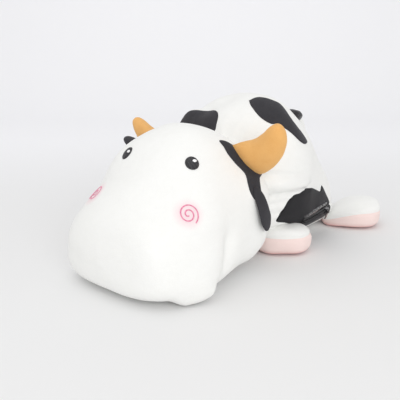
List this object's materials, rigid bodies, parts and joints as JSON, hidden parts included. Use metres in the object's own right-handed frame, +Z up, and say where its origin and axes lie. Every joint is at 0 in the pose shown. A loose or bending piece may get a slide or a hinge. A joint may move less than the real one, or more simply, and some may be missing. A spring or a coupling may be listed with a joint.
{
  "type": "plush cow",
  "caption": "Stuffed toy cow lying on its belly, with tan horns, hanging black ears, black patches, pink soles, spiral cheeks and a zip along one flank.",
  "frame": {"origin": "middle of the base of the whole toy, on the surface that it lies on", "axes": "+Z up, the cow's face looks towards -Y, its left side is +X"},
  "size_m": [0.3132, 0.5622, 0.243],
  "materials": {
    "white_plush": "matte, short smooth pile",
    "black_plush": "satin, short smooth pile",
    "pink_plush": "matte, short smooth pile",
    "tan_plush": "matte, short smooth pile",
    "polyester_fibre": "loose fibre filling",
    "pink_thread": "embroidery thread, soft sheen",
    "eye_cloth": "flat applique",
    "highlight_cloth": "flat applique",
    "black_nylon": "glossy moulded nylon"
  },
  "bodies": {
    "head_and_body": {"head_cover": "white_plush", "head_filling": "polyester_fibre", "body_cover": "white_plush", "body_filling": "polyester_fibre", "horn_left_cover": "tan_plush", "horn_left_filling": "polyester_fibre", "horn_right_cover": "tan_plush", "horn_right_filling": "polyester_fibre", "root_patch_left": "black_plush", "root_patch_right": "black_plush", "eye_left": "eye_cloth", "eye_right": "eye_cloth", "highlight_left": "highlight_cloth", "highlight_right": "highlight_cloth", "cheek_spiral_left": "pink_thread", "cheek_spiral_right": "pink_thread", "spot_front": "black_plush", "spot_top": "black_plush", "spot_flank": "black_plush", "spot_far_flank": "black_plush", "spot_rump": "black_plush", "zip_tape": "black_nylon", "zip_coil": "black_nylon"},
    "front_leg_left": {"front_leg_left_top": "white_plush", "front_leg_left_sole": "pink_plush", "front_leg_left_filling": "polyester_fibre"},
    "front_leg_right": {"front_leg_right_top": "white_plush", "front_leg_right_sole": "pink_plush", "front_leg_right_filling": "polyester_fibre"},
    "rear_leg_left": {"rear_leg_left_top": "white_plush", "rear_leg_left_sole": "pink_plush", "rear_leg_left_filling": "polyester_fibre"},
    "rear_leg_right": {"rear_leg_right_top": "white_plush", "rear_leg_right_sole": "pink_plush", "rear_leg_right_filling": "polyester_fibre"},
    "ear_left": {"ear_left": "black_plush"},
    "ear_right": {"ear_right": "black_plush"},
    "tail": {"tail_cord": "white_plush", "tail_tuft": "black_plush"},
    "zip_slider": {"zip_slider": "black_nylon"},
    "zip_pull": {"zip_pull": "black_nylon"}
  },
  "joints": [
    {"name": "front_leg_left_droop", "type": "hinge", "parent": "head_and_body", "child": "front_leg_left", "pos_m": [0.03616, 0.07751, 0], "axis": [0.766, 0.6428, 0], "range_deg": [0, 25], "stiffness_Nm_per_rad": 0.05},
    {"name": "front_leg_right_droop", "type": "hinge", "parent": "head_and_body", "child": "front_leg_right", "pos_m": [-0.03616, 0.07751, 0], "axis": [0.766, -0.6428, 0], "range_deg": [0, 25], "stiffness_Nm_per_rad": 0.05},
    {"name": "rear_leg_left_droop", "type": "hinge", "parent": "head_and_body", "child": "rear_leg_left", "pos_m": [0.06102, 0.19543, 0], "axis": [-0.6428, 0.766, 0], "range_deg": [0, 25], "stiffness_Nm_per_rad": 0.05},
    {"name": "rear_leg_right_droop", "type": "hinge", "parent": "head_and_body", "child": "rear_leg_right", "pos_m": [-0.06102, 0.19543, 0], "axis": [-0.6428, -0.766, 0], "range_deg": [0, 25], "stiffness_Nm_per_rad": 0.05},
    {"name": "ear_left_lift", "type": "hinge", "parent": "head_and_body", "child": "ear_left", "pos_m": [0.10077, -0.08901, 0.12981], "axis": [0.1392, -0.9903, 0], "range_deg": [0, 40], "stiffness_Nm_per_rad": 0.004},
    {"name": "ear_right_lift", "type": "hinge", "parent": "head_and_body", "child": "ear_right", "pos_m": [-0.10076, -0.089, 0.12983], "axis": [0.1392, 0.9903, 0], "range_deg": [0, 40], "stiffness_Nm_per_rad": 0.004},
    {"name": "tail_swing", "type": "hinge", "parent": "head_and_body", "child": "tail", "pos_m": [0, 0.2059, 0.11491], "axis": [-1, 0, 0], "range_deg": [-8, 40], "stiffness_Nm_per_rad": 0.004},
    {"name": "zip_travel", "type": "hinge", "parent": "head_and_body", "child": "zip_slider", "pos_m": [-0.72431, 0.03538, 0.0465], "axis": [0, 0, 1], "range_deg": [-4.2, 0.35]},
    {"name": "zip_pull_flip", "type": "hinge", "parent": "zip_slider", "child": "zip_pull", "pos_m": [0.10434, 0.13343, 0.04452], "axis": [0.1175, -0.9931, 0], "range_deg": [-10, 100]}
  ]
}
